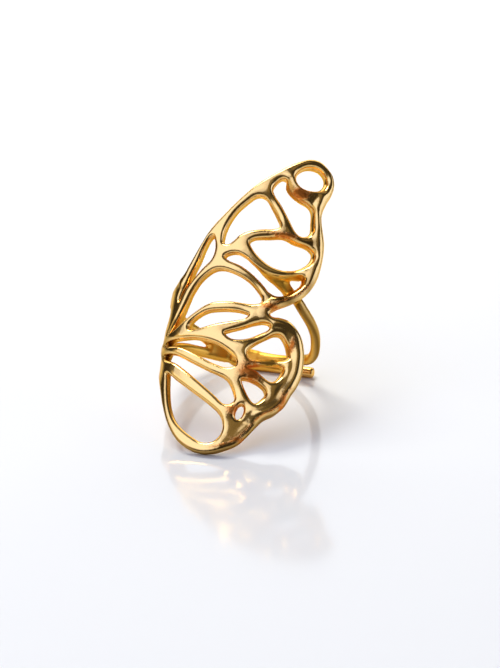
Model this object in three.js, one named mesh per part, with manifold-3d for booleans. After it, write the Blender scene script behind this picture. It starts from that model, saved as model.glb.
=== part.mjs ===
// Wrap ring: a cast openwork butterfly wing carried on a round wire finger band.
// The wing and the band are one soldered casting in polished yellow gold.
//
// Ring frame (millimetres): +Z runs along the finger, +Y to the back of the band, -Y to the front,
// where the wing sits. The finished ring is then laid down in the pose that it takes on a table.

import * as THREE from 'three';
import { mergeVertices } from 'three/addons/utils/BufferGeometryUtils.js';
import Module from 'manifold-3d';

const wasm = await Module();
wasm.setup();

// ---- driving dimensions ----

const BAND_RADIUS = 9.3;          // middle of the wire, for a 17.3 mm finger hole
const WIRE_THICK = 1.3;           // across the wire, from the finger outwards
const WIRE_TALL = 1.45;           // along the finger
const STRAP_TALL = 2.3;           // where the wires run together at the back
const WIRE_SIDES = 10;
const STEP_DEGREES = 6;           // turn of the band between two sections of a wire

const SHEET = 1.5;                // thickness of the cast wing
const THIN = { by: 0.27, right: -1, left: -6, top: -4, bottom: -8 };   // where the tail runs thinner
const EDGE = 0.2;                 // softened edge of the wing, front and back
const SWELL = 0.05;               // how much fuller the casting is than its drawn lines
const OUTLINE_STEP = 0.64;        // length of one facet along an outline
const OVAL_SIDES = 12;            // fewest facets round an oval hole

// The wing is rolled like a sheet: a wide arc over the finger and a tight one at its root side.
const WIDE = { radius: 18, crown: 2.0, front: -9.45, turn: 32 };
const TIGHT = { radius: 3.8 };
const SCORE_WIDE = 8;             // degrees of roll taken up by one facet of the wide arc
const SCORE_TIGHT = 14.5;         // and of the tight one
const SCORED = { right: 7, left: -14.2 };   // the stretch of the sheet that is scored
const SCORE_REACH = 0.02;         // a corner this near to a score line lies on it

const FOOT = { near: -0.35, far: -1.7 };   // web behind the wing that spreads the end of the wire

// Rest pose: how far the finger axis leans back and sideways, and the turn on the table.
const REST = { lean: 41.617, roll: 13.152, turn: 4.55 };

// ---- outlines on the unrolled wing: s runs to the right round the finger, h up along it ----

const WING_EDGE = [
    // leading edge, from the root up to the tip
    [-14.6, 1.3], [-14.6, 2.7], [-13.9, 3.05], [-12.9, 3.4], [-11.85, 4.15], [-11.2, 5.25],
    [-10.65, 6.5], [-9.7, 8.9], [-8.7, 11.0], [-7.0, 13.4], [-5.4, 15.5], [-3.8, 17.4], [-2.1, 19.0],
    [0.1, 20.8], [1.3, 21.6],
    // rounded tip and the trailing edge of the forewing
    [2.5, 22.2], [3.75, 22.25], [4.95, 21.6], [5.85, 20.65], [6.2, 19.4], [6.0, 18.0], [5.5, 16.6],
    [5.2, 15.2], [5.35, 14.1], [5.75, 12.7], [6.15, 11.3], [6.3, 9.6], [6.2, 7.6], [5.9, 6.0],
    [5.3, 4.6], [4.4, 3.35], [2.9, 2.25], [1.3, 1.2],
    // notch between the two wings, then the hindwing down to its tail
    [0.8, 0.5], [1.2, 0.15], [2.2, 0.2], [3.3, 0.05], [4.4, -0.7], [5.3, -1.8], [5.9, -3.4],
    [6.15, -5.0], [6.15, -6.6], [5.8, -8.2], [5.15, -9.7], [4.6, -11.2], [3.6, -12.5],
    [2.35, -13.45], [1.45, -14.65], [0.6, -15.95], [-0.4, -17.2], [-1.8, -18.1], [-3.3, -18.75],
    [-4.8, -18.95],
    // round the tail and up to the root
    [-6.4, -18.6], [-8.1, -17.6], [-9.8, -15.6], [-11.2, -12.9], [-12.2, -10.8], [-13.3, -9.2],
    [-14.8, -7.6], [-15.3, -5.5], [-15.1, -3.6], [-14.0, -2.4], [-13.1, -1.1], [-13.0, 0.2],
];

// Openings cut through the wing, each as the points of one closed curve.
const OPENINGS = {
    tip_pane: [[-1.5, 17.3], [-1.2, 18.2], [-0.5, 18.9], [0.0, 18.8], [0.2, 17.8], [0.8, 17.1],
        [2.0, 16.4], [3.4, 15.9], [3.95, 15.3], [4.2, 13.8], [4.3, 12.6], [3.8, 11.85], [3.0, 11.7],
        [2.3, 12.1], [1.3, 13.5], [-0.2, 15.5], [-1.1, 16.5]],
    upper_pane: [[-2.9, 16.15], [-2.1, 15.9], [-1.2, 14.8], [-0.2, 13.4], [0.25, 12.5], [-0.2, 12.1],
        [-2.0, 11.75], [-3.6, 11.2], [-4.7, 10.5], [-5.3, 9.7], [-6.0, 9.1], [-6.7, 9.3],
        [-6.85, 10.3], [-6.5, 12.0], [-5.6, 13.8], [-4.3, 15.3], [-3.6, 15.95]],
    sliver: [[-8.1, 10.2], [-7.8, 9.5], [-7.6, 8.2], [-7.9, 6.9], [-8.8, 5.8], [-9.7, 4.5],
        [-10.6, 3.0], [-11.35, 1.2], [-11.5, 1.5], [-11.1, 2.9], [-10.4, 4.9], [-9.7, 6.7],
        [-9.2, 8.6], [-8.6, 10.0]],
    middle_pane: [[-3.3, 9.8], [-2.8, 10.25], [-0.8, 10.65], [0.9, 10.95], [2.4, 10.55], [4.2, 10.3],
        [5.0, 9.7], [4.9, 8.8], [4.2, 7.8], [3.0, 7.0], [1.2, 6.7], [-0.2, 7.0], [-1.6, 7.8],
        [-2.9, 9.0]],
    slant_pane: [[-6.2, 7.5], [-5.6, 7.95], [-4.6, 8.1], [-3.5, 7.7], [-2.1, 6.75], [-0.7, 6.0],
        [0.6, 5.65], [1.9, 5.75], [3.7, 6.45], [4.3, 6.3], [4.2, 5.3], [3.5, 4.4], [2.3, 3.35],
        [1.3, 3.05], [0.4, 3.35], [-0.7, 4.3], [-2.1, 5.4], [-3.9, 6.4], [-5.6, 6.95]],
    long_pane: [[-7.4, 5.5], [-6.2, 5.75], [-4.5, 5.4], [-2.7, 4.6], [-1.3, 3.5], [-0.5, 2.5],
        [-0.55, 1.8], [-1.4, 1.5], [-4.1, 1.45], [-6.0, 1.3], [-7.5, 0.75], [-8.9, -0.3],
        [-10.0, -1.3], [-11.2, -2.6], [-12.5, -3.1], [-11.9, -2.3], [-11.1, -0.9], [-10.5, 0.6],
        [-9.85, 2.5], [-8.9, 4.2]],
    fin_pane: [[-9.35, -1.8], [-8.6, -0.95], [-7.3, -0.15], [-5.5, 0.2], [-4.2, 0.3], [-2.7, 0.25],
        [-1.75, 0.0], [-2.2, -0.6], [-3.4, -1.05], [-5.8, -1.75], [-7.9, -2.5], [-9.1, -2.75],
        [-9.45, -2.3]],
    slot_pane: [[-4.45, -2.8], [-3.9, -2.5], [-2.6, -2.0], [-0.8, -1.15], [0.4, -0.8], [1.1, -0.95],
        [1.05, -1.5], [0.0, -2.3], [-1.1, -3.0], [-2.3, -3.45], [-3.5, -3.5]],
    gate_pane: [[-1.2, -4.9], [-0.4, -3.85], [0.8, -2.9], [2.0, -2.15], [2.7, -2.15], [3.4, -2.85],
        [3.9, -3.9], [4.1, -4.7], [3.6, -5.15], [2.1, -5.35], [0.4, -5.7], [-0.7, -5.8]],
    root_pane: [[-14.0, -4.3], [-12.7, -4.05], [-10.4, -3.95], [-8.4, -3.8], [-6.0, -4.1],
        [-4.6, -4.55], [-3.2, -5.4], [-2.3, -6.3], [-2.35, -7.0], [-3.3, -7.4], [-4.9, -7.1],
        [-7.0, -6.3], [-9.0, -5.45], [-10.6, -5.0], [-12.9, -4.75]],
    spear_pane: [[-13.9, -5.6], [-12.3, -5.75], [-10.6, -6.05], [-8.0, -7.1], [-5.7, -8.0],
        [-3.5, -8.75], [-2.8, -9.3], [-1.9, -10.8], [-1.7, -11.5], [-2.2, -12.15], [-3.0, -12.2],
        [-4.2, -11.35], [-6.4, -9.8], [-8.7, -8.3], [-10.4, -7.3], [-12.7, -6.4]],
    small_pane: [[-0.8, -7.0], [0.1, -6.6], [1.9, -6.2], [3.2, -5.95], [3.7, -6.3], [3.5, -7.1],
        [2.9, -8.1], [2.4, -8.35], [1.6, -7.95], [0.4, -7.3]],
    drop_pane: [[-1.3, -8.7], [-0.7, -8.6], [0.6, -8.9], [1.7, -9.5], [2.0, -10.1], [1.5, -11.0],
        [0.9, -11.6], [0.3, -11.2], [-0.6, -10.0], [-1.1, -9.2]],
    tail_pane: [[-11.5, -8.5], [-11.3, -9.5], [-10.9, -11.0], [-10.1, -13.2], [-9.1, -14.9],
        [-7.9, -16.0], [-6.3, -17.0], [-4.9, -17.6], [-3.6, -17.4], [-2.7, -16.3], [-2.6, -14.9],
        [-3.3, -13.6], [-4.9, -12.4], [-7.2, -11.05], [-9.7, -9.6]],
};

// Oval holes: centre, half length, half width and slant of the long axis in degrees.
const OVALS = {
    tip_eye: { s: 3.1, h: 19.5, long: 1.97, short: 1.56, slant: 8 },
    bead_hole: { s: -0.8, h: -13.0, long: 1.02, short: 0.52, slant: 80 },
};

// Web that spreads the end of the wire over the back of the wing.
const FOOT_EDGE = [[-1.8, 6.9], [-1.3, 6.25], [0.0, 5.35], [1.0, 4.85], [1.9, 4.3], [2.6, 3.75],
    [3.3, 3.4], [3.6, 3.9], [3.2, 4.6], [2.75, 5.1], [2.5, 5.5], [3.2, 5.95], [4.5, 6.35],
    [4.2, 6.9], [1.6, 6.6], [0.0, 6.6]];

// ---- the band: angle from its back (+ to the right), height along the finger, and how far out
// its middle line runs from the band's radius ----

const RING_WIRE = [
    { angle: 6, height: 0.4, out: 0 },
    { angle: 25, height: 0.05, out: 0 },
    { angle: 42, height: -0.23, out: 0.1 },
    { angle: 60, height: -0.45, out: 0.15 },
    { angle: 75, height: -0.6, out: 0.3 },
    { angle: 84, height: -0.25, out: 0.3 },
    { angle: 97, height: 0.95, out: 0.1 },
    { angle: 114, height: 1.95, out: -0.05 },
    { angle: 129, height: 2.9, out: -0.1 },
    { angle: 138, height: 3.7, out: -0.1 },
    { angle: 148, height: 4.6, out: -0.1 },
    { angle: 156, height: 5.8, out: -0.3 },
];
const FREE_WIRE = [
    { angle: -3, height: -0.8, out: -0.05 },
    { angle: 4, height: -1.0, out: 0 },
    { angle: 10, height: -1.0, out: 0 },
    { angle: 18, height: -0.95, out: 0 },
    { angle: 35, height: -1.1, out: 0.45 },
    { angle: 48, height: -1.25, out: 1.5 },
    { angle: 56.5, height: -1.35, out: 2.7 },
];
const UPPER_FORK = [
    { angle: -12, height: 0.45, out: 0 },
    { angle: -25, height: 0.9, out: 0.05 },
    { angle: -38, height: 1.48, out: 0.1 },
    { angle: -62, height: 2.0, out: 0.25 },
    { angle: -75, height: 2.5, out: 0.3 },
    { angle: -88, height: 3.1, out: 0.3 },
    { angle: -100, height: 3.4, out: 0.2 },
    { angle: -112, height: 3.65, out: 0.35 },
    { angle: -119, height: 3.8, out: 0.65 },
    { angle: -124, height: 3.85, out: 1.05 },
];
const LOWER_FORK = [
    { angle: -12, height: -0.45, out: 0 },
    { angle: -35, height: -0.83, out: 0.1 },
    { angle: -50, height: -1.24, out: 0.15 },
    { angle: -70, height: -2.4, out: 0.3 },
    { angle: -90, height: -3.7, out: 0.3 },
    { angle: -109, height: -4.85, out: 0.45 },
];
const STRAP = [
    { angle: -25, height: 0, out: 0 },
    { angle: -8, height: -0.05, out: 0 },
    { angle: 14, height: -0.2, out: 0 },
];

// ---- tools ----

const radians = THREE.MathUtils.degToRad;

// A closed THREE geometry as a manifold solid.
function solid(geometry) {
    const bare = geometry.index ? geometry.toNonIndexed() : geometry.clone();
    bare.deleteAttribute('normal');
    bare.deleteAttribute('uv');
    const merged = mergeVertices(bare, 1e-5);
    return manifoldOf(merged.attributes.position.array, merged.index.array);
}

function manifoldOf(coordinates, corners) {
    return new wasm.Manifold(new wasm.Mesh({
        numProp: 3,
        vertProperties: new Float32Array(coordinates),
        triVerts: new Uint32Array(corners),
    }));
}

// A closed smooth curve through the points, as evenly spaced corners that run anticlockwise.
function smoothLoop(points, step) {
    const knots = points.map(([s, h]) => new THREE.Vector3(s, h, 0));
    const curve = new THREE.CatmullRomCurve3(knots, true, 'centripetal');
    const count = Math.ceil(curve.getLength() / step);
    const loop = curve.getSpacedPoints(count).slice(0, count).map((p) => new THREE.Vector2(p.x, p.y));
    return THREE.ShapeUtils.isClockWise(loop) ? loop.reverse() : loop;
}

function oval({ s, h, long, short, slant }, step) {
    const curve = new THREE.EllipseCurve(s, h, long, short, 0, 2 * Math.PI, false, radians(slant));
    const count = Math.max(OVAL_SIDES, Math.ceil(curve.getLength() / step));
    return curve.getSpacedPoints(count).slice(0, count);
}

// ---- the rolled sheet of the wing ----

// Tilt of the sheet and its middle line in plan, at the distance s round it.
function section(s) {
    const turn = radians(WIDE.turn);
    const wideEnd = -WIDE.radius * turn;
    const tightEnd = wideEnd - TIGHT.radius * (Math.PI / 2 - turn);
    if (s > wideEnd) {
        const tilt = s / WIDE.radius;
        return {
            tilt,
            x: WIDE.crown + WIDE.radius * Math.sin(tilt),
            y: WIDE.front + WIDE.radius * (1 - Math.cos(tilt)),
        };
    }
    const join = {
        x: WIDE.crown - WIDE.radius * Math.sin(turn),
        y: WIDE.front + WIDE.radius * (1 - Math.cos(turn)),
    };
    const tilt = Math.max(-Math.PI / 2, -turn + (s - wideEnd) / TIGHT.radius);
    return {
        tilt,
        x: join.x + TIGHT.radius * (Math.sin(tilt) + Math.sin(turn)),
        y: join.y + TIGHT.radius * (Math.cos(turn) - Math.cos(tilt)) + Math.max(0, tightEnd - s),
    };
}

// Places where the flat sheet is scored, so that its faces can follow the roll.
function scoreLines() {
    const turn = radians(WIDE.turn);
    const lines = [];
    const wideStep = WIDE.radius * radians(SCORE_WIDE);
    const tightStep = TIGHT.radius * radians(SCORE_TIGHT);
    const wideEnd = -WIDE.radius * turn;
    for (let s = wideEnd + wideStep; s < SCORED.right; s += wideStep) {
        lines.push(s);
    }
    for (let s = wideEnd; s > SCORED.left; s -= tightStep) {
        lines.push(s);
    }
    return lines;
}

// Splits every triangle that crosses the line x = at. Each edge is cut once, for both its faces,
// and a corner that is close to the line counts as lying on it.
function score(points, triangles, at) {
    const cuts = new Map();
    const side = (i) => (Math.abs(points[i].x - at) < SCORE_REACH ? 0 : Math.sign(points[i].x - at));
    const cut = (i, j) => {
        const key = `${Math.min(i, j)} ${Math.max(i, j)}`;
        if (!cuts.has(key)) {
            const part = (at - points[i].x) / (points[j].x - points[i].x);
            cuts.set(key, points.push(points[i].clone().lerp(points[j], part)) - 1);
        }
        return cuts.get(key);
    };
    return triangles.flatMap((corners) => {
        const sides = corners.map(side);
        if (!sides.includes(1) || !sides.includes(-1)) {
            return [corners];
        }
        if (sides.includes(0)) {
            // the line runs from a corner to the middle of the edge across from it
            const start = sides.indexOf(0);
            const [a, b, c] = [0, 1, 2].map((k) => corners[(start + k) % 3]);
            return [[a, b, cut(b, c)], [a, cut(b, c), c]];
        }
        // one corner stands alone on its side of the line
        const start = sides.findIndex((own) => sides.filter((other) => other === own).length === 1);
        const [a, b, c] = [0, 1, 2].map((k) => corners[(start + k) % 3]);
        return [[a, cut(a, b), cut(a, c)], [cut(a, b), b, c], [cut(a, b), c, cut(a, c)]];
    });
}

// Rolls a flat solid, x across and y up, round the finger.
function rolled(flat) {
    const { vertProperties, triVerts } = flat.getMesh();
    const points = [];
    for (let i = 0; i < vertProperties.length; i += 3) {
        points.push(new THREE.Vector3().fromArray(vertProperties, i));
    }
    let triangles = [];
    for (let i = 0; i < triVerts.length; i += 3) {
        triangles.push([...triVerts.slice(i, i + 3)]);
    }
    for (const at of scoreLines()) {
        triangles = score(points, triangles, at);
    }
    const bent = points.flatMap((p) => {
        const { tilt, x, y } = section(p.x);
        const thin = THREE.MathUtils.smoothstep(THIN.right - p.x, 0, THIN.right - THIN.left)
            * THREE.MathUtils.smoothstep(THIN.top - p.y, 0, THIN.top - THIN.bottom);
        const z = p.z * (1 - THIN.by * thin);
        return [x + z * Math.sin(tilt), y - z * Math.cos(tilt), p.y];
    });
    return manifoldOf(bent, triangles.flat());
}

// A flat plate between two depths. A positive edge softens its rim; a negative one flares it,
// for a cutter that leaves a softened edge round its hole.
function plate(loop, near, far, edge) {
    const rim = Math.abs(edge);
    const flat = new THREE.ExtrudeGeometry(new THREE.Shape(loop), {
        depth: near - far - 2 * rim,
        steps: 1,
        curveSegments: 1,
        bevelEnabled: rim > 0,
        bevelThickness: rim,
        bevelSize: edge,
        bevelOffset: Math.sign(edge) * SWELL - edge,
        bevelSegments: 1,
    });
    flat.translate(0, 0, far + rim);
    return solid(flat);
}

function wing() {
    const cutters = [
        ...Object.values(OPENINGS).map((points) => smoothLoop(points, OUTLINE_STEP)),
        ...Object.values(OVALS).map((size) => oval(size, OUTLINE_STEP)),
    ].map((loop) => plate(loop, SHEET / 2, -SHEET / 2, -EDGE));
    const blank = plate(smoothLoop(WING_EDGE, OUTLINE_STEP), SHEET / 2, -SHEET / 2, EDGE);
    return rolled(blank.subtract(wasm.Manifold.union(cutters)));
}

function foot() {
    return rolled(plate(smoothLoop(FOOT_EDGE, OUTLINE_STEP), FOOT.near, FOOT.far, 0));
}

// ---- the wires of the band ----

function wire(table, thick, tall) {
    const knots = table.map(({ angle, height, out }) => new THREE.Vector3(
        (BAND_RADIUS + out) * Math.sin(radians(angle)),
        (BAND_RADIUS + out) * Math.cos(radians(angle)),
        height,
    ));
    const path = new THREE.CatmullRomCurve3(knots, false, 'centripetal');
    const turn = Math.abs(table[table.length - 1].angle - table[0].angle);
    const steps = Math.max(2, Math.round(turn / STEP_DEGREES));
    const rings = [];
    for (let i = 0; i <= steps; i += 1) {
        const centre = path.getPointAt(i / steps);
        const along = path.getTangentAt(i / steps);
        const out = new THREE.Vector3(centre.x, centre.y, 0).normalize();
        out.addScaledVector(along, -out.dot(along)).normalize();
        const up = new THREE.Vector3().crossVectors(out, along).normalize();
        rings.push({ centre, out, up });
    }
    return solid(loft(rings, thick, tall));
}

// Joins oval sections into one closed tube.
function loft(rings, thick, tall) {
    const corner = ({ centre, out, up }, k) => {
        const turn = (2 * Math.PI * (k + 0.5)) / WIRE_SIDES;
        return centre.clone()
            .addScaledVector(out, (thick / 2) * Math.cos(turn))
            .addScaledVector(up, (tall / 2) * Math.sin(turn));
    };
    const points = [];
    const face = (...list) => list.forEach((p) => points.push(p.x, p.y, p.z));
    for (let i = 0; i + 1 < rings.length; i += 1) {
        for (let k = 0; k < WIRE_SIDES; k += 1) {
            const a = corner(rings[i], k);
            const b = corner(rings[i], k + 1);
            const c = corner(rings[i + 1], k + 1);
            const d = corner(rings[i + 1], k);
            face(a, c, b);
            face(a, d, c);
        }
    }
    const first = rings[0];
    const last = rings[rings.length - 1];
    for (let k = 0; k < WIRE_SIDES; k += 1) {
        face(first.centre, corner(first, k), corner(first, k + 1));
        face(last.centre, corner(last, k + 1), corner(last, k));
    }
    const geometry = new THREE.BufferGeometry();
    geometry.setAttribute('position', new THREE.Float32BufferAttribute(points, 3));
    return geometry;
}

function band() {
    return wire(STRAP, WIRE_THICK, STRAP_TALL)
        .add(wire(RING_WIRE, WIRE_THICK, WIRE_TALL))
        .add(wire(FREE_WIRE, WIRE_TALL, WIRE_TALL))
        .add(wire(UPPER_FORK, WIRE_THICK, WIRE_TALL))
        .add(wire(LOWER_FORK, WIRE_THICK, WIRE_TALL));
}

// ---- the finished ring ----

function ringMesh() {
    const { vertProperties, triVerts } = wing().add(foot()).add(band()).getMesh();
    const geometry = new THREE.BufferGeometry();
    geometry.setAttribute('position', new THREE.BufferAttribute(vertProperties, 3));
    geometry.setIndex(new THREE.BufferAttribute(triVerts, 1));
    geometry.computeVertexNormals();
    const gold = new THREE.MeshStandardMaterial({ color: 0xe2b04a, roughness: 0.18, metalness: 1 });
    const mesh = new THREE.Mesh(geometry, gold);
    mesh.name = 'wing_ring';
    return mesh;
}

const ring = ringMesh();
ring.rotation.set(radians(-REST.lean), radians(REST.roll), 0);

// Turned on the table, and set down so that the ring stands on z = 0 over the origin.
const object = new THREE.Group();
object.rotation.z = radians(REST.turn);
object.add(ring);
object.updateMatrixWorld(true);
const box = new THREE.Box3().setFromObject(object, true);
object.position.set(-(box.min.x + box.max.x) / 2, -(box.min.y + box.max.y) / 2, -box.min.z);

export default object;
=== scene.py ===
# Wrap ring: an openwork butterfly wing on a forked wire band, cast and soldered as one piece and
# plated in polished yellow gold. It lies on a pale table in the pose it comes to rest in.
from math import cos, pi, radians, sin, sqrt

import bpy
import numpy as np
from mathutils import Euler, Matrix, Vector


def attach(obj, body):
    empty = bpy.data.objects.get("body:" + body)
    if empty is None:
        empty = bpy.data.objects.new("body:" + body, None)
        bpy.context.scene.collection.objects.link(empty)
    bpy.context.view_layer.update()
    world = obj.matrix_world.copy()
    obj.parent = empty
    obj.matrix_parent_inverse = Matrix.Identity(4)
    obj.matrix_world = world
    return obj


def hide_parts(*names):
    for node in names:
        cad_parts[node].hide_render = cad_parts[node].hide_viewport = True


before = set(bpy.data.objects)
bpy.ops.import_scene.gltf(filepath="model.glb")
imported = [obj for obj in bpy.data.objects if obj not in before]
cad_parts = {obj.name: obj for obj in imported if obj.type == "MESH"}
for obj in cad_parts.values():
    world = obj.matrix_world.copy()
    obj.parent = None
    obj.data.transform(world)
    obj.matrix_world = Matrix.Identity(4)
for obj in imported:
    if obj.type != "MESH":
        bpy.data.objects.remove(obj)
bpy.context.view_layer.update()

# ---- The drawn lines of the wing ----
# The wing is drawn flat, in millimetres: s runs to the right round the finger and h up along it.
# A founder carves these lines in wax: one rim and fourteen panes, an eye and a bead hole.

WING_EDGE = [
    # leading edge, from the root up to the tip
    [-14.6, 1.3], [-14.6, 2.7], [-13.9, 3.05], [-12.9, 3.4], [-11.85, 4.15], [-11.2, 5.25],
    [-10.65, 6.5], [-9.7, 8.9], [-8.7, 11.0], [-7.0, 13.4], [-5.4, 15.5], [-3.8, 17.4], [-2.1, 19.0],
    [0.1, 20.8], [1.3, 21.6],
    # rounded tip and the trailing edge of the forewing
    [2.5, 22.2], [3.75, 22.25], [4.95, 21.6], [5.85, 20.65], [6.2, 19.4], [6.0, 18.0], [5.5, 16.6],
    [5.2, 15.2], [5.35, 14.1], [5.75, 12.7], [6.15, 11.3], [6.3, 9.6], [6.2, 7.6], [5.9, 6.0],
    [5.3, 4.6], [4.4, 3.35], [2.9, 2.25], [1.3, 1.2],
    # notch between the two wings, then the hindwing down to its tail
    [0.8, 0.5], [1.2, 0.15], [2.2, 0.2], [3.3, 0.05], [4.4, -0.7], [5.3, -1.8], [5.9, -3.4],
    [6.15, -5.0], [6.15, -6.6], [5.8, -8.2], [5.15, -9.7], [4.6, -11.2], [3.6, -12.5],
    [2.35, -13.45], [1.45, -14.65], [0.6, -15.95], [-0.4, -17.2], [-1.8, -18.1], [-3.3, -18.75],
    [-4.8, -18.95],
    # round the tail and up to the root
    [-6.4, -18.6], [-8.1, -17.6], [-9.8, -15.6], [-11.2, -12.9], [-12.2, -10.8], [-13.3, -9.2],
    [-14.8, -7.6], [-15.3, -5.5], [-15.1, -3.6], [-14.0, -2.4], [-13.1, -1.1], [-13.0, 0.2],
]

OPENINGS = {
    "tip_pane": [[-1.5, 17.3], [-1.2, 18.2], [-0.5, 18.9], [0.0, 18.8], [0.2, 17.8], [0.8, 17.1],
        [2.0, 16.4], [3.4, 15.9], [3.95, 15.3], [4.2, 13.8], [4.3, 12.6], [3.8, 11.85], [3.0, 11.7],
        [2.3, 12.1], [1.3, 13.5], [-0.2, 15.5], [-1.1, 16.5]],
    "upper_pane": [[-2.9, 16.15], [-2.1, 15.9], [-1.2, 14.8], [-0.2, 13.4], [0.25, 12.5], [-0.2, 12.1],
        [-2.0, 11.75], [-3.6, 11.2], [-4.7, 10.5], [-5.3, 9.7], [-6.0, 9.1], [-6.7, 9.3],
        [-6.85, 10.3], [-6.5, 12.0], [-5.6, 13.8], [-4.3, 15.3], [-3.6, 15.95]],
    "sliver": [[-8.1, 10.2], [-7.8, 9.5], [-7.6, 8.2], [-7.9, 6.9], [-8.8, 5.8], [-9.7, 4.5],
        [-10.6, 3.0], [-11.35, 1.2], [-11.5, 1.5], [-11.1, 2.9], [-10.4, 4.9], [-9.7, 6.7],
        [-9.2, 8.6], [-8.6, 10.0]],
    "middle_pane": [[-3.3, 9.8], [-2.8, 10.25], [-0.8, 10.65], [0.9, 10.95], [2.4, 10.55], [4.2, 10.3],
        [5.0, 9.7], [4.9, 8.8], [4.2, 7.8], [3.0, 7.0], [1.2, 6.7], [-0.2, 7.0], [-1.6, 7.8],
        [-2.9, 9.0]],
    "slant_pane": [[-6.2, 7.5], [-5.6, 7.95], [-4.6, 8.1], [-3.5, 7.7], [-2.1, 6.75], [-0.7, 6.0],
        [0.6, 5.65], [1.9, 5.75], [3.7, 6.45], [4.3, 6.3], [4.2, 5.3], [3.5, 4.4], [2.3, 3.35],
        [1.3, 3.05], [0.4, 3.35], [-0.7, 4.3], [-2.1, 5.4], [-3.9, 6.4], [-5.6, 6.95]],
    "long_pane": [[-7.4, 5.5], [-6.2, 5.75], [-4.5, 5.4], [-2.7, 4.6], [-1.3, 3.5], [-0.5, 2.5],
        [-0.55, 1.8], [-1.4, 1.5], [-4.1, 1.45], [-6.0, 1.3], [-7.5, 0.75], [-8.9, -0.3],
        [-10.0, -1.3], [-11.2, -2.6], [-12.5, -3.1], [-11.9, -2.3], [-11.1, -0.9], [-10.5, 0.6],
        [-9.85, 2.5], [-8.9, 4.2]],
    "fin_pane": [[-9.35, -1.8], [-8.6, -0.95], [-7.3, -0.15], [-5.5, 0.2], [-4.2, 0.3], [-2.7, 0.25],
        [-1.75, 0.0], [-2.2, -0.6], [-3.4, -1.05], [-5.8, -1.75], [-7.9, -2.5], [-9.1, -2.75],
        [-9.45, -2.3]],
    "slot_pane": [[-4.45, -2.8], [-3.9, -2.5], [-2.6, -2.0], [-0.8, -1.15], [0.4, -0.8], [1.1, -0.95],
        [1.05, -1.5], [0.0, -2.3], [-1.1, -3.0], [-2.3, -3.45], [-3.5, -3.5]],
    "gate_pane": [[-1.2, -4.9], [-0.4, -3.85], [0.8, -2.9], [2.0, -2.15], [2.7, -2.15], [3.4, -2.85],
        [3.9, -3.9], [4.1, -4.7], [3.6, -5.15], [2.1, -5.35], [0.4, -5.7], [-0.7, -5.8]],
    "root_pane": [[-14.0, -4.3], [-12.7, -4.05], [-10.4, -3.95], [-8.4, -3.8], [-6.0, -4.1],
        [-4.6, -4.55], [-3.2, -5.4], [-2.3, -6.3], [-2.35, -7.0], [-3.3, -7.4], [-4.9, -7.1],
        [-7.0, -6.3], [-9.0, -5.45], [-10.6, -5.0], [-12.9, -4.75]],
    "spear_pane": [[-13.9, -5.6], [-12.3, -5.75], [-10.6, -6.05], [-8.0, -7.1], [-5.7, -8.0],
        [-3.5, -8.75], [-2.8, -9.3], [-1.9, -10.8], [-1.7, -11.5], [-2.2, -12.15], [-3.0, -12.2],
        [-4.2, -11.35], [-6.4, -9.8], [-8.7, -8.3], [-10.4, -7.3], [-12.7, -6.4]],
    "small_pane": [[-0.8, -7.0], [0.1, -6.6], [1.9, -6.2], [3.2, -5.95], [3.7, -6.3], [3.5, -7.1],
        [2.9, -8.1], [2.4, -8.35], [1.6, -7.95], [0.4, -7.3]],
    "drop_pane": [[-1.3, -8.7], [-0.7, -8.6], [0.6, -8.9], [1.7, -9.5], [2.0, -10.1], [1.5, -11.0],
        [0.9, -11.6], [0.3, -11.2], [-0.6, -10.0], [-1.1, -9.2]],
    "tail_pane": [[-11.5, -8.5], [-11.3, -9.5], [-10.9, -11.0], [-10.1, -13.2], [-9.1, -14.9],
        [-7.9, -16.0], [-6.3, -17.0], [-4.9, -17.6], [-3.6, -17.4], [-2.7, -16.3], [-2.6, -14.9],
        [-3.3, -13.6], [-4.9, -12.4], [-7.2, -11.05], [-9.7, -9.6]],
}

OVALS = {
    "tip_eye": {"s": 3.1, "h": 19.5, "long": 1.97, "short": 1.56, "slant": 8},
    "bead_hole": {"s": -0.8, "h": -13.0, "long": 1.02, "short": 0.52, "slant": 80},
}

# The web that spreads the end of the wire over the back of the wing.
FOOT_EDGE = [[-1.8, 6.9], [-1.3, 6.25], [0.0, 5.35], [1.0, 4.85], [1.9, 4.3], [2.5, 3.75],
    [3.0, 3.4], [3.1, 3.9], [2.65, 4.6], [2.25, 5.1], [2.1, 5.55], [2.9, 5.95], [4.5, 6.35],
    [4.2, 6.9], [1.6, 6.6], [0.0, 6.6]]


def smooth_loop(points, step=0.12):
    """A closed centripetal curve through the points, as short straight pieces."""
    knots = np.array(points, float)
    pieces = []
    for i in range(len(knots)):
        p0, p1, p2, p3 = (knots[(i + k) % len(knots)] for k in (-1, 0, 1, 2))
        t1 = sqrt(np.linalg.norm(p1 - p0))
        t2 = t1 + sqrt(np.linalg.norm(p2 - p1))
        t3 = t2 + sqrt(np.linalg.norm(p3 - p2))
        count = max(2, int(np.linalg.norm(p2 - p1) / step))
        t = np.linspace(t1, t2, count, endpoint=False)[:, None]
        a1 = (t1 - t) / t1 * p0 + t / t1 * p1
        a2 = (t2 - t) / (t2 - t1) * p1 + (t - t1) / (t2 - t1) * p2
        a3 = (t3 - t) / (t3 - t2) * p2 + (t - t2) / (t3 - t2) * p3
        b1 = (t2 - t) / t2 * a1 + t / t2 * a2
        b2 = (t3 - t) / (t3 - t1) * a2 + (t - t1) / (t3 - t1) * a3
        pieces.append((t2 - t) / (t2 - t1) * b1 + (t - t1) / (t2 - t1) * b2)
    return np.concatenate(pieces)


def oval_loop(s, h, long, short, slant, step=0.12):
    """An oval round one place, its long side turned by the slant in degrees."""
    turn = np.linspace(0, 2 * pi, int(2 * pi * long / step), endpoint=False)
    across, along = long * np.cos(turn), short * np.sin(turn)
    tilt = radians(slant)
    return np.stack([s + across * cos(tilt) - along * sin(tilt),
                     h + across * sin(tilt) + along * cos(tilt)], -1)


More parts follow.
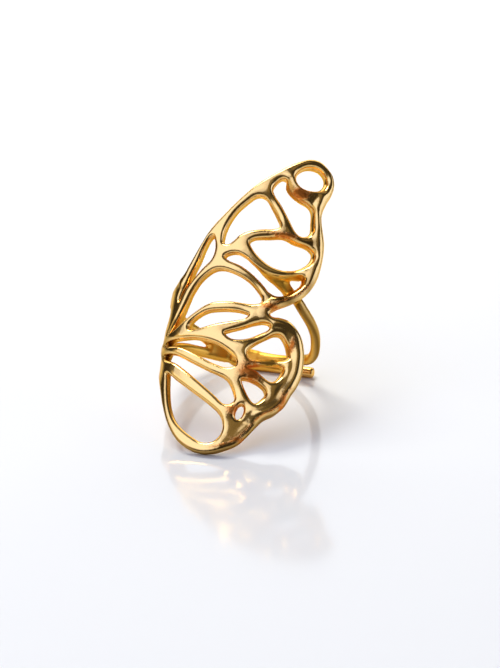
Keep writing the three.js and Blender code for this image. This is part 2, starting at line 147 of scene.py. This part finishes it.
class FlatSheet:
    """Distance to the drawn lines over the flat sheet: negative in metal, positive in the open."""

    STEP = 0.1       # between two places where the distance is kept
    REACH = 1.6      # the furthest distance that is told apart
    BATCH = 20000    # places measured at once
    MARGIN = 3.001   # cells at the far side that a smooth patch needs to itself

    def __init__(self, low, high, rim, openings=()):
        self.low = np.array(low, float)
        self.size = np.ceil((np.array(high) - low) / self.STEP).astype(int) + 1
        self.depth = np.full(self.size, self.REACH)
        self.cut(rim, lambda old, new: new)
        for loop in openings:
            self.cut(loop, lambda old, new: np.maximum(old, -new))

    def cut(self, loop, combine):
        """Measures one closed line near itself and combines it with what is there."""
        start = np.floor((loop.min(0) - self.REACH - self.low) / self.STEP).astype(int).clip(0)
        stop = (np.ceil((loop.max(0) + self.REACH - self.low) / self.STEP).astype(int) + 1)
        stop = np.minimum(stop, self.size)
        s, h = (self.low[k] + self.STEP * np.arange(start[k], stop[k]) for k in (0, 1))
        x, y = (g.ravel()[:, None] for g in np.meshgrid(s, h, indexing="ij"))
        near = np.empty(len(x))
        ahead = np.roll(loop, -1, 0)
        side = ahead - loop
        length2 = (side ** 2).sum(1)
        for i in range(0, len(x), self.BATCH):
            part = slice(i, i + self.BATCH)
            dx, dy = x[part] - loop[:, 0], y[part] - loop[:, 1]
            t = ((dx * side[:, 0] + dy * side[:, 1]) / length2).clip(0, 1)
            gap = np.hypot(dx - t * side[:, 0], dy - t * side[:, 1]).min(1)
            spans = (loop[:, 1] > y[part]) != (ahead[:, 1] > y[part])
            with np.errstate(divide="ignore", invalid="ignore"):
                reach = side[:, 0] * (y[part] - loop[:, 1]) / side[:, 1]
            inside = (spans & (dx < reach)).sum(1) % 2 == 1
            near[part] = np.where(inside, -gap, gap)
        area = tuple(slice(a, b) for a, b in zip(start, stop))
        near = near.reshape(len(s), len(h)).clip(-self.REACH, self.REACH)
        self.depth[area] = combine(self.depth[area], near)

    def pillow(self, spread):
        """How deep inside the metal a place lies: one in broad metal, about a half at an edge."""
        reach = np.arange(-3 * spread, 3 * spread + self.STEP / 2, self.STEP)
        weights = np.exp(-(reach / spread) ** 2 / 2)
        inside = (0.5 - self.depth / self.STEP).clip(0, 1)
        for axis in (0, 1):
            inside = np.apply_along_axis(np.convolve, axis, inside, weights / weights.sum(), "same")
        return inside

    def at(self, s, h, grid=None):
        """The distance at any place on the sheet, from a smooth patch over the grid."""
        grid = self.depth if grid is None else grid
        u = ((s - self.low[0]) / self.STEP).clip(1, self.size[0] - self.MARGIN)
        v = ((h - self.low[1]) / self.STEP).clip(1, self.size[1] - self.MARGIN)
        i, j = u.astype(int), v.astype(int)
        weights = []
        for t in (u - i, v - j):
            weights.append((t * (t * (2 - t) - 1) / 2, (t * t * (3 * t - 5) + 2) / 2,
                            t * (t * (4 - 3 * t) + 1) / 2, t * t * (t - 1) / 2))
        total = 0
        for a in range(4):
            for b in range(4):
                total = total + weights[0][a] * weights[1][b] * grid[i + a - 1, j + b - 1]
        return total


corners = np.array([(-17, -20.5), (8, -20.5), (8, 24), (-17, 24)])
rim_sheet = FlatSheet(corners[0], corners[2], smooth_loop(WING_EDGE))
pane_sheet = FlatSheet(
    corners[0], corners[2], corners,
    [smooth_loop(points) for points in OPENINGS.values()] + [oval_loop(**o) for o in OVALS.values()])
wing_sheet = FlatSheet(corners[0], corners[2], corners)
wing_sheet.depth = np.maximum(rim_sheet.depth, pane_sheet.depth)

foot_sheet = FlatSheet((-4, 1.5), (6, 9), smooth_loop(FOOT_EDGE))

# ---- The rolled wing ----
# The flat sheet is rolled round the finger: a wide arc over it and a tight one at the root side.
# Its faces are filed flat, and every edge is rounded over by polishing.

WIDE_RADIUS = 18.0        # of the wide arc, at the middle of the sheet
WIDE_CROWN = 2.0          # where that arc stands furthest out, to the right of the finger's middle
WIDE_FRONT = -9.45        # how far in front of the finger's middle it stands there
WIDE_TURN = radians(32)   # where the tight arc takes over
TIGHT_RADIUS = 3.8
HALF_SHEET = 0.75
THIN_BY = 0.27            # share of the thickness that is lost towards the tail
SWELL = 0.05              # metal left outside the drawn lines
FRONT_ROUND = 0.42
WORN_ROUND = 0.1          # extra rounding of the front edges on the right half
BACK_ROUND = 0.30
BACK_FILED = 0.02         # taken off the back face
CROWN = 0.5               # fall of a vein from its middle to its sides
CROWN_RIGHT = 2.0         # extra fall on the right half
LIP = 0.42                # height of the lip below the eye
LIP_WIDE = 0.9
BEAD = 0.45               # height of the raised rim
BEAD_IN = 0.85            # from the edge to the rim's top, and the rim's half width
TAIL_SLOPE = 0.23         # fall of the tail towards the right, for each millimetre
crown_map = pane_sheet.pillow(0.72)

join_x = WIDE_CROWN - (WIDE_RADIUS - TIGHT_RADIUS) * sin(WIDE_TURN)
join_y = WIDE_FRONT + WIDE_RADIUS - (WIDE_RADIUS - TIGHT_RADIUS) * cos(WIDE_TURN)


def unroll(x, y):
    """Distance round the sheet from its crown line, and height off its middle, outwards positive."""
    wide = np.arctan2(x - WIDE_CROWN, WIDE_FRONT + WIDE_RADIUS - y)
    tight = np.arctan2(x - join_x, join_y - y)
    over_finger = wide > -WIDE_TURN
    straight = (y > join_y) & ~over_finger
    s = np.where(over_finger, WIDE_RADIUS * wide,
                 TIGHT_RADIUS * (tight + WIDE_TURN) - WIDE_RADIUS * WIDE_TURN)
    z = np.where(over_finger, np.hypot(x - WIDE_CROWN, WIDE_FRONT + WIDE_RADIUS - y) - WIDE_RADIUS,
                 np.hypot(x - join_x, join_y - y) - TIGHT_RADIUS)
    flat_start = -WIDE_RADIUS * WIDE_TURN - TIGHT_RADIUS * (pi / 2 - WIDE_TURN)
    s = np.where(straight, flat_start - (y - join_y), s)
    return s, np.where(straight, join_x - x - TIGHT_RADIUS, z)


def ramp(value, start, stop):
    """Nought before the start, one after the stop, and a smooth rise between them."""
    t = ((value - start) / (stop - start)).clip(0, 1)
    return t * t * (3 - 2 * t)


def rounded(across, through, radius):
    """A plate: distance to its outline and to its face, with the edge between them rounded."""
    a, b = across + radius, through + radius
    return np.hypot(a.clip(0), b.clip(0)) + np.maximum(a, b).clip(None, 0) - radius


def melt(a, b, reach):
    """Two bodies run together, with a fillet of that reach in the corner between them."""
    h = (1 - np.abs(a - b) / reach).clip(0)
    return np.minimum(a, b) - h * h * reach / 4


def wing_body(s, z, h):
    """Distance to the pierced plate, with its raised rim, rounded veins and sloping tail."""
    across = wing_sheet.at(s, h) - SWELL
    thin = 1 - THIN_BY * ramp(-s, 1, 6) * ramp(-h, 4, 8)
    front = FRONT_ROUND + WORN_ROUND * ramp(s, 0, 3)
    half = HALF_SHEET * thin
    worn = (CROWN + CROWN_RIGHT * ramp(s, -5, 1)) * (1 - wing_sheet.at(s, h, crown_map)) ** 2
    eye = OVALS["tip_eye"]
    gap = np.hypot(s - eye["s"], (h - eye["h"]) * eye["long"] / eye["short"]) - eye["long"]
    lip = np.exp(-(gap / LIP_WIDE) ** 2) * ramp(eye["h"] - h + 0.4 * (eye["s"] - s), 0.2, 1.6)
    bead = np.exp(-((rim_sheet.at(s, h) + BEAD_IN) / BEAD_IN) ** 2)
    bead = bead * ramp(s, -2, 2) * (1 - 0.6 * ramp(h, 17, 21))
    slope = TAIL_SLOPE * (s + 2.5).clip(0, 3) * ramp(-h, 12.6, 14.4)
    worn = worn + slope - LIP * lip - BEAD * bead
    return np.where(z > 0, rounded(across, z - half + worn, front),
                    rounded(across, -z - half + BACK_FILED, BACK_ROUND))


WEB_BEHIND = 1.0          # from the middle of the wing's plate back to the middle of the web
HALF_WEB = 0.6
WEB_ROUND = 0.35


def foot_body(s, z, h):
    """Distance to the web that spreads the wire's end over the back of the wing."""
    return rounded(foot_sheet.at(s, h), np.abs(z + WEB_BEHIND) - HALF_WEB, WEB_ROUND)


# ---- The band ----
# Oval wire, bent round the finger and soldered: angles run from the back of the finger, plus to
# the right. The ring wire ends in the web behind the wing, the two forks at the wing's root.

WIRE_HALF = (0.63, 0.725)   # half the wire across, and half of it along the finger
STRAP_HALF = (0.63, 1.15)   # the same where the wires run together at the back
BAR_RADIUS = 0.7            # of the free wire, which is round
BAR_ROUND = 0.3             # of its cut end, and of the joint with its bent part
RING_TAPER = 0.25           # share of its thickness that the ring wire loses before the web
TAPER_ANGLES = (132, 150)   # where that loss starts and is complete
STRAP_SOLDER = 0.3          # fillet between the strap and the wires that leave it
FREE_SOLDER = 0.35
FORK_SOLDER = 0.6

RING_WIRE = [
    {"angle": 6, "height": 0.4, "radius": 9.3},
    {"angle": 25, "height": 0.05, "radius": 9.3},
    {"angle": 42, "height": -0.23, "radius": 9.4},
    {"angle": 60, "height": -0.45, "radius": 9.45},
    {"angle": 75, "height": -0.6, "radius": 9.6},
    {"angle": 84, "height": -0.25, "radius": 9.6},
    {"angle": 97, "height": 0.95, "radius": 9.4},
    {"angle": 114, "height": 1.95, "radius": 9.25},
    {"angle": 129, "height": 2.9, "radius": 9.2},
    {"angle": 138, "height": 3.7, "radius": 9.2},
    {"angle": 148, "height": 4.6, "radius": 9.2},
    {"angle": 156, "height": 5.8, "radius": 9.0},
]

FREE_WIRE = [
    {"angle": -3, "height": -0.8, "radius": 9.25},
    {"angle": 4, "height": -1.0, "radius": 9.3},
    {"angle": 10, "height": -1.0, "radius": 9.3},
    {"angle": 18, "height": -0.95, "radius": 9.3},
    {"angle": 35, "height": -1.1, "radius": 9.75},
    {"angle": 48, "height": -1.25, "radius": 10.8},
    {"angle": 56.5, "height": -1.35, "radius": 12.0},
]

UPPER_FORK = [
    {"angle": -12, "height": 0.45, "radius": 9.3},
    {"angle": -25, "height": 0.9, "radius": 9.35},
    {"angle": -38, "height": 1.48, "radius": 9.4},
    {"angle": -62, "height": 2.0, "radius": 9.55},
    {"angle": -75, "height": 2.5, "radius": 9.6},
    {"angle": -88, "height": 3.1, "radius": 9.6},
    {"angle": -100, "height": 3.4, "radius": 9.5},
    {"angle": -112, "height": 3.65, "radius": 9.65},
    {"angle": -119, "height": 3.8, "radius": 9.95},
    {"angle": -124, "height": 3.85, "radius": 10.35},
]

LOWER_FORK = [
    {"angle": -12, "height": -0.45, "radius": 9.3},
    {"angle": -35, "height": -0.83, "radius": 9.4},
    {"angle": -50, "height": -1.24, "radius": 9.45},
    {"angle": -70, "height": -2.4, "radius": 9.6},
    {"angle": -90, "height": -3.7, "radius": 9.6},
    {"angle": -109, "height": -4.85, "radius": 9.75},
]

STRAP = [
    {"angle": -25, "height": 0, "radius": 9.3},
    {"angle": -8, "height": -0.05, "radius": 9.3},
    {"angle": 14, "height": -0.2, "radius": 9.3},
]


def bend(table):
    """The middle line of a bent wire: its radius and height at close angles."""
    angle, height, radius = (np.array([row[k] for row in table], float)
                             for k in ("angle", "height", "radius"))
    order = np.argsort(angle)
    angle, height, radius = angle[order], height[order], radius[order]
    fine = np.arange(angle[0], angle[-1], 0.5)
    line = [fine]
    for value in (radius, height):
        slope = np.gradient(value, angle)
        i = np.searchsorted(angle, fine, "right").clip(1, len(angle) - 1) - 1
        width = angle[i + 1] - angle[i]
        t = (fine - angle[i]) / width
        line.append((2 * t ** 3 - 3 * t ** 2 + 1) * value[i] + (t ** 3 - 2 * t ** 2 + t) * width * slope[i]
                    + (3 * t ** 2 - 2 * t ** 3) * value[i + 1] + (t ** 3 - t ** 2) * width * slope[i + 1])
    line.append(np.gradient(line[2], np.radians(fine)) / line[1])
    return line


def wire_body(x, y, h, line, half, taper=0):
    """Distance to a bent wire of oval section with rounded ends, thinner towards a tapered end."""
    fine, radius, height, slope = line
    angle = np.degrees(np.arctan2(x, y))
    on = angle.clip(fine[0], fine[-1])
    r = np.interp(on, fine, radius)
    lean = np.interp(on, fine, slope)
    out = (np.hypot(x, y) - r) / half[0]
    tall = half[1] * (1 - taper * ramp(on, *TAPER_ANGLES))
    up = (h - np.interp(on, fine, height)) / np.sqrt(1 + lean ** 2) / tall
    beyond = np.radians(angle - on) * r / half[0]
    return (np.sqrt(out ** 2 + up ** 2 + beyond ** 2) - 1) * min(half)


def bar_body(x, y, h):
    """The straight free end of the wire, cut off square and rounded over."""
    start, end = (np.array([row["radius"] * sin(radians(row["angle"])),
                            row["radius"] * cos(radians(row["angle"])), row["height"]])
                  for row in (FREE_WIRE[3], FREE_WIRE[-1]))
    length = np.linalg.norm(end - start)
    way = (end - start) / length
    gap = [x - start[0], y - start[1], h - start[2]]
    along = sum(g * w for g, w in zip(gap, way))
    radial = np.sqrt(sum((g - along * w) ** 2 for g, w in zip(gap, way)))
    return rounded(radial - BAR_RADIUS, np.abs(along - length / 2) - length / 2, BAR_ROUND)


ring_line, upper_line, lower_line, strap_line = map(bend, (RING_WIRE, UPPER_FORK, LOWER_FORK, STRAP))
free_line = bend(FREE_WIRE[:4])


def band_body(x, y, h):
    """Distance to the ring wire, the free wire, the two forks and the strap, soldered together."""
    wires = wire_body(x, y, h, ring_line, WIRE_HALF, RING_TAPER)
    free = melt(wire_body(x, y, h, free_line, (BAR_RADIUS, BAR_RADIUS)), bar_body(x, y, h), BAR_ROUND)
    wires = melt(wires, free, FREE_SOLDER)
    forks = melt(wire_body(x, y, h, upper_line, WIRE_HALF),
                 wire_body(x, y, h, lower_line, WIRE_HALF), FORK_SOLDER)
    wires = melt(wires, forks, STRAP_SOLDER)
    return melt(wires, wire_body(x, y, h, strap_line, STRAP_HALF), STRAP_SOLDER)


# ---- The casting ----
# Wing, web and band come out of the mould as one body of metal. Solder has filled the corners
# where the wires meet the wing, and the whole is polished smooth.

FAR = 2.0                 # the furthest distance from the skin that is told apart
SOLDER = 0.7              # fillet between the band and the wing
WEB_SOLDER = 0.5          # and between the web and the wing
WING_ACROSS = (-18, 8.5)  # how far round the sheet the wing is looked for, and how far off it
WING_OFF = 2.2
WEB_MIDDLE = 5.2          # height of the web, half its reach up and down, and its left end
WEB_REACH = 3.5
WEB_LEFT = -4
BAND_REACH = 9            # half the band's height, its least radius and its front end
BAND_INSIDE = 6.5
BAND_FRONT = -11


def metal(x, y, h):
    """Distance to the skin of the whole ring, negative inside the metal."""
    s, z = unroll(x, y)
    body = np.full(x.shape, FAR)
    near = (np.abs(z) < WING_OFF) & (s < WING_ACROSS[1]) & (s > WING_ACROSS[0])
    sn, zn, hn = s[near], z[near], h[near]
    wing = wing_body(sn, zn, hn)
    web = (np.abs(hn - WEB_MIDDLE) < WEB_REACH) & (sn > WEB_LEFT)
    wing[web] = melt(wing[web], foot_body(sn[web], zn[web], hn[web]), WEB_SOLDER)
    body[near] = wing
    near = (np.abs(h) < BAND_REACH) & (np.hypot(x, y) > BAND_INSIDE) & (y > BAND_FRONT)
    body[near] = melt(body[near], band_body(x[near], y[near], h[near]), SOLDER)
    return body.clip(-FAR, FAR)


LAYERS = 40               # of the net's cells, measured at once
PULLS = 3                 # times that the net is drawn onto the skin
LONGEST_PULL = 0.1
STEEPNESS = 0.2           # the least that a pull is divided by


def skin(low, high, pitch):
    """The surface of the metal as an even net of quads, drawn tight onto the true surface."""
    axes = [np.arange(a, b, pitch) for a, b in zip(low, high)]
    grid = np.empty([len(a) for a in axes])
    for k in range(0, len(axes[2]), LAYERS):
        layer = slice(k, k + LAYERS)
        grid[:, :, layer] = metal(*np.meshgrid(axes[0], axes[1], axes[2][layer], indexing="ij"))
    solid = grid < 0
    corners = [(a, b, c) for a in (0, 1) for b in (0, 1) for c in (0, 1)]
    cut = [slice(0, -1), slice(1, None)]
    count = sum(solid[cut[a], cut[b], cut[c]].astype(np.int8) for a, b, c in corners)
    cells = np.argwhere((count > 0) & (count < 8))
    number = np.full(count.shape, -1)
    number[tuple(cells.T)] = np.arange(len(cells))
    total, hits = np.zeros((len(cells), 3)), np.zeros(len(cells))
    for axis in range(3):
        for corner in corners:
            if corner[axis]:
                continue
            other = list(corner)
            other[axis] = 1
            a = grid[tuple((cells + corner).T)]
            b = grid[tuple((cells + other).T)]
            crossed = (a < 0) != (b < 0)
            place = np.tile(np.array(corner, float), (len(cells), 1))
            place[crossed, axis] = a[crossed] / (a[crossed] - b[crossed])
            total[crossed] += place[crossed]
            hits += crossed
    points = (cells + total / hits[:, None]) * pitch + np.array([a[0] for a in axes])
    faces = []
    for axis in range(3):
        step = np.zeros(3, int)
        step[axis] = 1
        inner = solid[tuple(slice(0, n - d) for n, d in zip(solid.shape, step))]
        outer = solid[tuple(slice(d, None) for d in step)]
        for start, order in ((inner & ~outer, 1), (~inner & outer, -1)):
            at = np.argwhere(start)
            u, v = np.roll(np.eye(3, dtype=int), -axis, 0)[1:]
            quad = np.stack([number[tuple((at - shift).T)]
                             for shift in (u + v, v, 0 * u, u)][::order], -1)
            faces.append(quad)
    for _ in range(PULLS):
        here = metal(*points.T)
        reach = 0.02
        slope = np.stack([(metal(*(points + reach * e).T) - metal(*(points - reach * e).T)) / (2 * reach)
                          for e in np.eye(3)], -1)
        move = slope * (here / (slope ** 2).sum(1).clip(STEEPNESS))[:, None]
        points -= move.clip(-LONGEST_PULL, LONGEST_PULL)
    return points, np.concatenate(faces)


# Copper-coloured patches, painted reflections of gold on gold and of the shaded table, where the polish is
# also rougher: place, width, height and strength.
COPPER_REFLECTION_PLACES = [
    (-0.1, -7.4, 1.2, 1.2, 1.0), (2.0, 17.3, 1.1, 0.6, 0.9), (4.1, -11.0, 0.35, 1.3, 0.6),
    (-0.3, -16.6, 0.9, 0.3, 0.7), (0.9, 11.3, 1.6, 0.3, 0.7), (4.2, -3.0, 0.25, 0.9, 0.6),
    (-1.5, -12.9, 0.8, 0.6, 0.7), (0.6, 1.4, 1.1, 0.4, 0.6),
]

# Painted dark reflections on the wing, where the gold is made dark, in the same order.
DARK_REFLECTION_PLACES = [
    (2.7, -10.9, 1.2, 0.9, 0.6), (-1.2, -7.9, 0.5, 0.7, 0.7),
    (-4.6, -2.3, 0.7, 0.5, 0.4), (0.1, 0.3, 0.5, 0.7, 0.7), (2.1, 2.6, 1.9, 0.6, 1.0),
    (0.8, 12.2, 0.4, 0.8, 0.7), (4.3, 11.1, 0.8, 0.5, 0.7), (-3.5, 9.5, 0.6, 0.7, 0.5),
    (5.0, 5.3, 0.6, 1.6, 0.7),
]

LEAN, ROLL, TURN = radians(41.617), radians(13.152), radians(4.55)
FINGER_CENTRE = Vector((-0.56971, 5.7533, 7.80621))
RING_BOX = ((-10.6, -10.8, -19.6), (11.2, 10.6, 23.0))
PITCH = 0.15              # of the net of quads
MILLIMETRES = 1000        # in a metre

points, faces = skin(*RING_BOX, PITCH)
height = points[:, 2]
from_finger = np.hypot(points[:, 0], points[:, 1])
around, off = unroll(points[:, 0], points[:, 1])
on_wing = (off > -1) & (off < 1.5) & (around > -17) & (wing_sheet.at(around, height) < 0.4)

# The walls of the panes, the web behind the wing and the side of the band by the finger are painted a
# deeper orange: painted shade and gold-on-gold reflection. Their polish is also rougher.
inward = 1 - ramp(from_finger, 9.0, 9.7)
recess_shade_and_polish = np.where(on_wing, 1 - ramp(off, -0.1, 0.4), 0.3 + 0.6 * inward)
web = ~on_wing & (np.abs(height - 5) < 2.4) & (np.abs(around - 1.5) < 3.5) & (off > -3)
recess_shade_and_polish = np.where(web, 1.6, recess_shade_and_polish)

# The wing's root is painted dark, and the wire is painted darker, most along a line on its under side:
# painted dark reflection and shade.
painted_darkness = 0.6 * ramp(-around, 10.6, 13.6) * on_wing
turned = np.degrees(np.arctan2(points[:, 0], points[:, 1]))
below = height - np.interp(turned, ring_line[0], ring_line[2])
beyond = from_finger - np.interp(turned, ring_line[0], ring_line[1])
facing = np.degrees(np.arctan2(below, beyond))
on_wire = (turned > 20) & (turned < 140) & ~on_wing & (np.abs(below) < 1) & (np.abs(beyond) < 1)
# Painted shade on the wire, darkest in a line along its under side.
wire_shade_line = (0.45 + 0.55 * np.exp(-((facing + 55) / 25) ** 2)) * (1 - inward * ramp(105 - turned, 0, 20))
painted_darkness = np.where(on_wire, wire_shade_line, painted_darkness)


def patches(places):
    """Soft oval spots on the wing, each as strong as its last number says."""
    return sum(depth * np.exp(-((around - s) / wide) ** 2 - ((height - h) / tall) ** 2)
               for s, h, wide, tall, depth in places) * on_wing


# The outer wall of the lower rim is painted dark: a painted dark reflection.
rim_wall_shade = ramp(rim_sheet.at(around, height), -0.45, -0.1) * ramp(-height, 1, 5) * on_wing
painted_darkness = np.maximum(painted_darkness, np.maximum(patches(DARK_REFLECTION_PLACES), 0.75 * rim_wall_shade))

# Painted copper-coloured reflection in those patches and in a fine line just inside the rim.
COPPER_LINE_IN, COPPER_LINE_WIDE, COPPER_LINE_DEPTH = 0.62, 0.11, 0.55
copper_rim_reflection = np.exp(-((rim_sheet.at(around, height) + COPPER_LINE_IN) / COPPER_LINE_WIDE) ** 2)
copper_rim_reflection *= np.where(height < -4, ramp(-height, 8, 10) * ramp(around, -4.5, -2.5),
                      ramp(height, 0, 1) * ramp(6 - height, 0, 2) * ramp(around, 0, 2))
copper_reflection = np.maximum(patches(COPPER_REFLECTION_PLACES), COPPER_LINE_DEPTH * copper_rim_reflection * on_wing * (off > 0))

rest = (Matrix.Rotation(TURN, 3, "Z") @ Matrix.Rotation(-LEAN, 3, "X") @ Matrix.Rotation(ROLL, 3, "Y"))
points = (points @ np.array(rest).T + np.array(FINGER_CENTRE)) / MILLIMETRES
mesh = bpy.data.meshes.new("ring_casting")
mesh.from_pydata(points.tolist(), [], faces.tolist())
mesh.shade_smooth()
for name, value in (("recess_shade_and_polish", recess_shade_and_polish), ("painted_darkness", painted_darkness), ("copper_reflection", copper_reflection)):
    mesh.attributes.new(name, "FLOAT", "POINT").data.foreach_set("value", value.astype(np.float32))
casting = bpy.data.objects.new("ring_casting", mesh)
bpy.context.scene.collection.objects.link(casting)
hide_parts("wing_ring")
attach(casting, "root")

# ---- The gold ----
# Yellow-gold plate, polished bright by hand on a slightly uneven cast skin. Its colour holds painted
# light:
# a deeper orange inside the panes is painted shade and gold-on-gold reflection, dark patches are painted
# dark reflections, and copper-coloured patches are painted reflections.


class Socket:
    """A shader socket that takes part in Python sums."""

    def __init__(self, tree, link):
        self.tree, self.link = tree, link

    def maths(self, operation, *others):
        node = self.tree.nodes.new("ShaderNodeMath")
        node.operation = operation
        for slot, value in zip(node.inputs, (self, *others)):
            join(self.tree, slot, value)
        return Socket(self.tree, node.outputs[0])

    def __add__(self, other):
        return self.maths("ADD", other)

    def __mul__(self, other):
        return self.maths("MULTIPLY", other)

    def __sub__(self, other):
        return self.maths("SUBTRACT", other)

    def __rsub__(self, other):
        return (self * -1) + other

    __radd__, __rmul__ = __add__, __mul__

    def clipped(self):
        return self.maths("MINIMUM", 1.0).maths("MAXIMUM", 0.0)


def join(tree, slot, value):
    if isinstance(value, Socket):
        tree.links.new(value.link, slot)
    else:
        slot.default_value = value


class Finish:
    """A material under construction."""

    def __init__(self, name):
        self.material = bpy.data.materials.new(name)
        self.material.use_nodes = True
        self.tree = self.material.node_tree
        self.shader = self.tree.nodes["Principled BSDF"]

    def node(self, kind, settings=None, output=0, **sockets):
        """Any node: its settings first, then the values or links of its sockets by name."""
        made = self.tree.nodes.new("ShaderNode" + kind)
        for key, value in (settings or {}).items():
            setattr(made, key, value)
        for key, value in sockets.items():
            slot = next(i for i in made.inputs if i.enabled and i.name == key.replace("_", " "))
            join(self.tree, slot, value)
        outputs = [o for o in made.outputs if o.enabled]
        return Socket(self.tree, outputs[output])

    def blend(self, factor, first, second):
        """From the first colour to the second as the factor goes from 0 to 1."""
        first, second = (c if isinstance(c, Socket) else (*c, 1) for c in (first, second))
        return self.node("Mix", {"data_type": "RGBA"}, Factor=factor, A=first, B=second)

    def set(self, **sockets):
        for key, value in sockets.items():
            join(self.tree, self.shader.inputs[key.replace("_", " ")], value)


BRIGHT = (0.94, 0.61, 0.21)
# Colour of the pane walls: painted shade and gold-on-gold reflection.
PANE_SHADE_COLOUR = (0.85, 0.44, 0.045)
# Colour of the painted dark reflections and shade.
DARK_REFLECTION_COLOUR = (0.18, 0.085, 0.01)
# Colour of the painted copper-coloured reflections.
COPPER_REFLECTION_COLOUR = (0.72, 0.22, 0.035)
POLISH = 0.11             # roughness of the brightest gold

gold = Finish("polished_gold")
place = gold.node("TexCoord", output=3)
recess_shade_and_polish_node = gold.node("Attribute", {"attribute_name": "recess_shade_and_polish"}, output=2)
painted_darkness_node = gold.node("Attribute", {"attribute_name": "painted_darkness"}, output=2)
copper_reflection_node = gold.node("Attribute", {"attribute_name": "copper_reflection"}, output=2)
waves = gold.node("TexNoise", Vector=place, Scale=280.0, Detail=1.0)
blotches = gold.node("TexNoise", Vector=place, Scale=1500.0, Detail=4.0, Roughness=0.6)
grain = gold.node("TexNoise", Vector=place, Scale=3600.0, Detail=2.0)
# Painted copper-coloured reflection, which is also rougher and bumpier.
rough_copper_reflection = (copper_reflection_node * 2.4 * blotches * blotches * 3.2).clipped()
# Painted light in the gold's colour: painted shade in the recesses, painted dark and copper-coloured
# reflections.
colour = gold.blend(recess_shade_and_polish_node, BRIGHT, PANE_SHADE_COLOUR)
colour = gold.blend(painted_darkness_node * 0.93, colour, DARK_REFLECTION_COLOUR)
colour = gold.blend(rough_copper_reflection, colour, COPPER_REFLECTION_COLOUR)
gold.set(Base_Color=colour, Metallic=1.0,
         Roughness=grain * 0.06 + recess_shade_and_polish_node * 0.2 + rough_copper_reflection * 0.2 + POLISH,
         Specular_Tint=(1.0, 0.78, 0.45, 1))
relief = waves * 0.045 + grain * 0.004 + rough_copper_reflection * blotches * 0.08
gold.set(Normal=gold.node("Bump", Height=relief, Distance=0.001))
casting.data.materials.append(gold.material)

# ---- The table ----
# A wide sheet of white acrylic that runs past the edges of the view: smooth enough to mirror the
# ring faintly, and cast in one piece.

TABLE_SIDE = 3

bpy.ops.mesh.primitive_plane_add(size=TABLE_SIDE)
table = bpy.context.object
table.name = "table"
acrylic = Finish("white_acrylic")
acrylic.set(Base_Color=(0.92, 0.92, 0.87, 1), Roughness=0.1)
table.data.materials.append(acrylic.material)

# ---- The light ----
# Daylight from a soft box high on the left and a card low on the right, a small light behind, and a
# bright backdrop that the table mirrors. Warm walls and a ceiling stand for the rest of the room.

RING_MIDDLE = Vector((0, 0, 0.01))
DAYLIGHT = (1, 1.12, 1.7)
WARM = (1, 0.9, 0.7)


def soft_box(name, place, size, power, colour=(1, 1, 1)):
    """A flat panel of light that faces the ring: its place and size in metres, its power in watts."""
    light = bpy.data.lights.new(name, "AREA")
    light.shape = "RECTANGLE"
    light.size, light.size_y = size
    light.energy = power
    light.color = colour
    lamp = bpy.data.objects.new(name, light)
    lamp.location = place
    lamp.rotation_euler = (RING_MIDDLE - Vector(place)).to_track_quat("-Z", "Y").to_euler()
    bpy.context.scene.collection.objects.link(lamp)


soft_box("key", (-0.39, -0.25, 0.60), (0.80, 0.80), 1.5, DAYLIGHT)
soft_box("key lamp", (-0.34, -0.22, 0.52), (0.42, 0.42), 0.2, DAYLIGHT)
soft_box("behind", (-0.25, 0.40, 0.78), (0.38, 0.38), 4.2)
soft_box("right card", (0.62, -0.10, 0.20), (0.62, 0.40), 0.85, (0.96, 1.08, 1.6))
soft_box("left card", (-0.62, -0.20, 0.18), (0.5, 0.4), 0.35, WARM)
soft_box("ceiling", (0.10, -0.46, 0.86), (0.5, 0.4), 0.06, (1, 0.78, 0.4))
soft_box("room wall", (-0.45, -0.29, 0.69), (1.7, 1.7), 0.7, (1, 0.88, 0.65))
soft_box("backdrop", (0, 0.75, 0.36), (1.5, 0.50), 4.2)
soft_box("back wall", (0.12, 0.55, 0.80), (1.2, 0.6), 0.5, WARM)
world = bpy.data.worlds.new("room")
bpy.context.scene.world = world
world.use_nodes = True
world.node_tree.nodes["Background"].inputs["Color"].default_value = (*WARM, 1)
world.node_tree.nodes["Background"].inputs["Strength"].default_value = 0.05

# ---- The camera ----
# It looks down at the ring from the front, square on, and slightly turned.

ELEVATION, AZIMUTH, BANK = radians(24.979), radians(-0.341), radians(-0.816)
DISTANCE = 0.42
ASIDE = (0.00085, 0.00026)
LENS = 172.8

look = Euler((pi / 2 - ELEVATION, 0, -AZIMUTH)).to_matrix() @ Matrix.Rotation(BANK, 3, "Z")
right, up, back = look.col
camera = bpy.data.objects.new("camera", bpy.data.cameras.new("camera"))
camera.data.lens = LENS
camera.data.sensor_width = 36
camera.matrix_world = Matrix.Translation(
    FINGER_CENTRE / MILLIMETRES + ASIDE[0] * right + ASIDE[1] * up + DISTANCE * back) @ look.to_4x4()
camera.data.clip_start = 0.01
bpy.context.scene.collection.objects.link(camera)
bpy.context.scene.camera = camera
bpy.context.scene.view_settings.view_transform = "Standard"
